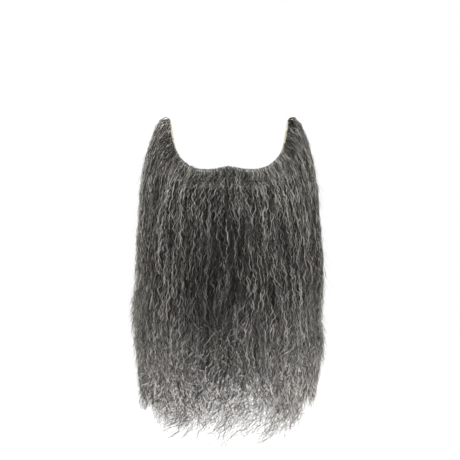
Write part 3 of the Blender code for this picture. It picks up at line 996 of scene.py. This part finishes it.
def bent_sheet(name, columns, rows, front_at, back_at):
    """A closed sheet from a grid: its front is bent to front_at, and the back is extruded from it."""
    form = bmesh.new()
    bmesh.ops.create_grid(form, x_segments=columns, y_segments=rows, size=0.5)
    front = form.verts[:]
    extruded = bmesh.ops.extrude_face_region(form, geom=form.faces[:])
    back = [item for item in extruded["geom"] if isinstance(item, bmesh.types.BMVert)]
    layer = form.loops.layers.uv.new("OFBake")
    for verts, place_at, margin in ((front, front_at, 0.02), (back, back_at, 0.0)):
        share = np.array([(vert.co.x + 0.5, vert.co.y + 0.5) for vert in verts])
        for vert, place, (u, v) in zip(verts, place_at(share[:, 0], share[:, 1]), share):
            vert.co = place
            for loop in vert.link_loops:
                loop[layer].uv = (margin + (1.0 - 2.0 * margin) * u, margin + (1.0 - 2.0 * margin) * v)
    bmesh.ops.recalc_face_normals(form, faces=form.faces[:])
    mesh = bpy.data.meshes.new(name)
    form.to_mesh(mesh)
    form.free()
    mesh.shade_smooth()
    return mesh


def coat_edge(side):
    """Where the coat starts on the net: lower along the lip, so that its line stays soft."""
    return UNDERCOAT_EDGE + LIP_EDGE * (1.0 - eased((np.abs(side) - 0.45) / 0.2))


def coat_sheet(piece):
    """The undercoat of one piece of the fall."""
    draw = np.random.default_rng(piece.seed + 100)
    ragged = draw.uniform(*RAGGED_HEM, UNDERCOAT_COLUMNS + 1)

    def shape(share, down):
        side = mix(piece.first_side + 0.004, piece.last_side - 0.004, share)
        column = np.round(share * UNDERCOAT_COLUMNS).astype(int)
        hem = -fall_length(side) * corner_share(side) * ragged[column]
        stop = hair_stop(side)
        on_net = np.minimum(down * UNDERCOAT_ROWS / ROOT_ROWS, 1.0)
        across = mix(coat_edge(side), stop, on_net)
        top = net_point(side, stop, LACE_WALL)[..., 2]
        below = np.maximum(down * UNDERCOAT_ROWS - ROOT_ROWS, 0.0) / (UNDERCOAT_ROWS - ROOT_ROWS)
        height = np.where(below > 0.0, mix(top, hem, below), net_point(side, across, LACE_WALL)[..., 2])
        return side, across, stop, height, below, lock_lift(piece, share)

    def at_depth(side, across, height, depth, out_at_root):
        root = net_point(side, across, LACE_WALL + out_at_root)
        target, out = fall_point(side, height, depth * thickness_at(height))
        gone = spread(side, root[..., 2] - height)[..., None]
        return np.concatenate((mix(root[..., :2], target[..., :2], gone), height[..., None]), axis=-1), out

    def front(share, down):
        side, across, _, height, below, lift = shape(share, down)
        edge = coat_edge(side)
        place, out = at_depth(side, edge, height, mix(UNDERCOAT_FRONT, 0.5, below**4), 0.0006)
        gone = spread(side, net_point(side, edge, LACE_WALL)[..., 2] - height)
        return place + out * (0.8 * lift * gone**2)[..., None]

    def back(share, down):
        side, across, stop, height, below, _ = shape(share, down)
        place, _ = at_depth(side, stop, height, mix(UNDERCOAT_BACK, 0.5, below**4), 0.0002)
        on_net = net_point(side, across, LACE_WALL + 0.0002)
        return np.where((below > 0.0)[..., None], place, on_net)

    return bent_sheet(piece.name + "_undercoat", UNDERCOAT_COLUMNS, UNDERCOAT_ROWS, front, back)


undercoat_material = undercoat_finish()
for piece in FALL_PIECES:
    finish_piece(piece.name + "_undercoat", coat_sheet(piece), undercoat_material, "hair", piece.name)

# %% [markdown]
# ## The net
# The foundation is a soft net of fine thread, pale olive against the skin. It could be a plain sheet
# with holes drawn by its material, but seen from behind the beard is open and the net is what shows. So
# its threads are rods too: two sets that cross at a slant, one a hair's breadth above the other, and a
# rolled edge all round.

# %% Knot the net
THREAD_RADIUS = 0.00014
THREAD_PITCH = 0.0150
THREAD_SLANT = 0.36
THREAD_POINTS = 17
EDGE_RADIUS = 0.00165
EDGE_POINTS = 120


def lace_finish():
    finish = Finish("net_thread", Roughness=0.75, Metallic=0.0, Specular_IOR_Level=0.2)
    u, v = finish.map_places()
    twist = finish.noise(u * 40.0, v * 60.0)
    stops = ((0.35, (0.21, 0.200, 0.140)), (0.65, (0.36, 0.345, 0.255)))
    finish.paint(finish.ramp(stops, twist))
    finish.dent(twist, 0.0003, 0.6)
    return finish.material


def net_out(side, across):
    return unit(net_point(side, across, 0.001) - net_point(side, across, 0.0))


def threads(draw, slant, lift):
    """Threads from the cheek edge to the neck edge that lean by slant of the way from chin to tip."""
    starts = np.arange(-1.0 - abs(slant), 1.0 + abs(slant), THREAD_PITCH)
    top = np.clip((np.sign(slant) * -1.0 - starts) / slant, 0.0, 1.0)
    bottom = np.clip((np.sign(slant) - starts) / slant, 0.0, 1.0)
    kept = bottom - top > 0.05
    starts, top, bottom = starts[kept, None], top[kept, None], bottom[kept, None]
    across = mix(top, bottom, np.linspace(0.0, 1.0, THREAD_POINTS)[None, :])
    side = np.clip(starts + slant * across, -1.0, 1.0)
    path = net_point(side, across, LACE_WALL * 0.5 + lift)
    radius = np.full(across.shape, THREAD_RADIUS)
    lane = draw.integers(0, LANES, len(starts))
    return Strands(path, net_out(side, across), radius, lane, np.full(len(starts), THREAD_POINTS), WHOLE)


def rolled_edges():
    """The rolled edge: along the cheek line and the neck line, and up both tips."""
    run = np.linspace(-1.0, 1.0, EDGE_POINTS)
    rise = np.linspace(0.0, 1.0, EDGE_POINTS)
    side = np.stack((run, run, -np.ones(EDGE_POINTS), np.ones(EDGE_POINTS)))
    across = np.stack((np.zeros(EDGE_POINTS), np.ones(EDGE_POINTS), rise, rise))
    path = net_point(side, across, LACE_WALL * 0.5)
    lane = np.array((4, 14, 24, 34))
    radius = EDGE_RADIUS * mix(0.16, 1.0, eased((np.abs(side) - 0.55) / 0.30))
    return Strands(path, net_out(side, across), radius, lane, np.full(4, EDGE_POINTS), WHOLE)


draw = np.random.default_rng(71)
net_mesh = strands_mesh("lace_net", [
    threads(draw, THREAD_SLANT, 0.00010), threads(draw, -THREAD_SLANT, -0.00010), rolled_edges()
])
finish_piece("lace_net", net_mesh, lace_finish(), "lace", "lace_base")

# %% [markdown]
# ## The tuft and the hair under the chin
# Two small pieces are left. The tuft is a small fan of short hair in mixed greys, in the middle of the lip
# line. The hair under the chin hangs straight from the back of the net, and only shows from behind. Both
# could be combed like the fall, but they have no locks, so one plainer tool lets them hang.

# %% Tuft and under-chin hair
TUFT = Piece("lip_tuft", -0.050, 0.120, 3, 47)
TUFT_LENGTH = 0.080
TUFT_STRANDS = 90
UNDER = Piece("under_chin_hair", -UNDER_SIDE, UNDER_SIDE, 6, 31)
UNDER_START = 0.63
UNDER_STOP = 0.93
UNDER_LENGTH = 0.225
UNDER_HEM_RISE = 0.50
UNDER_THICKNESS = 0.014
UNDER_STRANDS = 130


def hang(draw, side, across, tip, inset_at, radius, tone, wander, closing=0.0):
    """Strands that drop from their roots on the net to a tip height, at a depth behind the front."""
    amount = len(side)
    root = net_point(side, across, LACE_WALL * 0.5)
    half = HALF_CRIMP * draw.uniform(0.85, 1.15, amount)
    height, count, turn = crimped_heights(root[:, 2], tip, half)
    drop = root[:, 2][:, None] - height
    along = drop / (root[:, 2] - tip)[:, None]
    line = side[:, None] + wander * waves(draw, amount, height, 0.06) * along / SIDE_LENGTH
    line = line + closing * (side.mean() - side)[:, None] * along
    path, out, _ = leave_net(root, side, drop, line, height, inset_at(height))
    path = crimp(draw, path, out, turn, CRIMP_SIDE * eased(drop / 0.012))
    thick = tapered(draw, radius, along, 0.6)
    return Strands(path, out, thick, lanes_for(draw.uniform(*tone, amount)), count, WHOLE)


def tuft_strands():
    draw = np.random.default_rng(TUFT.seed)
    side = draw.uniform(TUFT.first_side, TUFT.last_side, TUFT_STRANDS)
    middle = (TUFT.first_side + TUFT.last_side) / 2.0
    half = (TUFT.last_side - TUFT.first_side) / 2.0
    peak = 1.0 - ((side - middle) / half) ** 2
    across = mix(0.06, 0.005, peak) + draw.uniform(0.0, 0.03, TUFT_STRANDS)
    top = net_point(side, across, 0.0)[:, 2]
    tip = top - TUFT_LENGTH * draw.uniform(0.3, 1.0, TUFT_STRANDS)

    def inset_at(height):
        return np.full(height.shape, -0.007) + draw.uniform(0.0, 0.004, (TUFT_STRANDS, 1))

    return hang(draw, side, across, tip, inset_at, 0.00023, (0.10, 0.95), 0.003, -1.7)


def under_strands():
    draw = np.random.default_rng(UNDER.seed)
    side = draw.uniform(UNDER.first_side, UNDER.last_side, UNDER_STRANDS)
    across = draw.uniform(UNDER_START, UNDER_STOP, UNDER_STRANDS)
    tip = -UNDER_LENGTH * (1.0 - UNDER_HEM_RISE * side**2) * draw.uniform(0.80, 1.0, UNDER_STRANDS)
    place = (across - UNDER_START) / (UNDER_STOP - UNDER_START)

    def inset_at(height):
        clear = thickness_at(height) + 0.0012 + RIDGE_HEIGHT * HIGHEST_RIDGE
        return clear + UNDER_THICKNESS * place[:, None]

    return hang(draw, side, across, tip, inset_at, 0.00036, (0.0, 0.85), 0.006)


finish_hair("lip_tuft_strands", [tuft_strands()], "lip_tuft")
finish_hair("under_chin_strands", [under_strands()], "under_chin_hair")

# %% [markdown]
# ## Flyaways
# Single hairs stand off both sides and soften the outline. They could be a fringe painted on a clear
# sheet, but that would be flat from the side and hard to cut out. So they are drifting strands again: a
# close set of short ones, a fuller set where the sides bulge, and a few very thin ones further out.

# %% Flyaways on both sides
# Columns as for the drifting strands of the fall
CLOSE = (300, 0.066, -0.250, (0.018, 0.040), 0.15, 0.40, 0.003, -0.0035, 0.00017, (0.25, 0.95), (0.50, 0.90))
BULGE = (190, -0.105, -0.190, (0.030, 0.055), 0.15, 0.40, 0.003, -0.0085, 0.00024, (0.40, 0.90), (0.50, 0.70))
FAR = (22, 0.050, -0.250, (0.020, 0.045), 0.25, 0.60, 0.002, -0.0080, 0.00013, (0.30, 0.90), (0.10, 0.40))


def flyaways(piece, shares):
    draw = np.random.default_rng(piece.seed + 200)
    sets = [drift(piece, draw, *kind, shares) for kind in (CLOSE, BULGE, FAR)]
    finish_hair(piece.name + "_flyaways", sets, piece.name)


flyaways(FALL_PIECES[0], (0.0, 0.40))
flyaways(FALL_PIECES[4], (0.60, 1.0))

# %% [markdown]
# ## Light and floor
# The beard hangs in front of plain white, under light from the front that is soft and even.

# %% The stage
FLOOR_Z = -0.40
FLOOR_RADIUS = 8.0


def add_floor():
    form = bmesh.new()
    bmesh.ops.create_circle(form, cap_ends=True, segments=64, radius=FLOOR_RADIUS)
    mesh = bpy.data.meshes.new("floor")
    form.to_mesh(mesh)
    form.free()
    white = Finish("floor", Base_Color=(1.0, 1.0, 1.0, 1.0), Roughness=0.9, Metallic=0.0)
    mesh.materials.append(white.material)
    floor = add_object("floor", mesh)
    floor.location = (0.0, 0.0, FLOOR_Z)


def add_softbox(name, place, target, size, watts):
    light = bpy.data.lights.new(name, "AREA")
    light.size = size
    light.energy = watts
    lamp = add_object(name, light)
    lamp.location = place
    towards = np.array(target) - np.array(place)
    flat = math.hypot(towards[0], towards[1])
    pitch = math.pi / 2.0 - math.atan2(-towards[2], flat)
    lamp.rotation_euler = (pitch, 0.0, math.atan2(-towards[0], towards[1]))
    lamp.visible_camera = False


def light_the_room():
    world = bpy.data.worlds.new("white_room")
    world.use_nodes = True
    world.node_tree.nodes["Background"].inputs["Color"].default_value = (1.0, 1.0, 1.0, 1.0)
    world.node_tree.nodes["Background"].inputs["Strength"].default_value = 1.0
    bpy.context.scene.world = world
    bpy.context.scene.view_settings.view_transform = "Standard"


add_floor()
light_the_room()
MIDDLE = (0.0, 0.0, -0.12)
add_softbox("key", (-0.9, -1.8, 1.1), MIDDLE, 1.2, 45.0)
add_softbox("fill", (1.2, -1.6, 0.5), MIDDLE, 1.2, 22.0)
add_softbox("top", (0.0, 0.3, 1.5), MIDDLE, 0.8, 14.0)
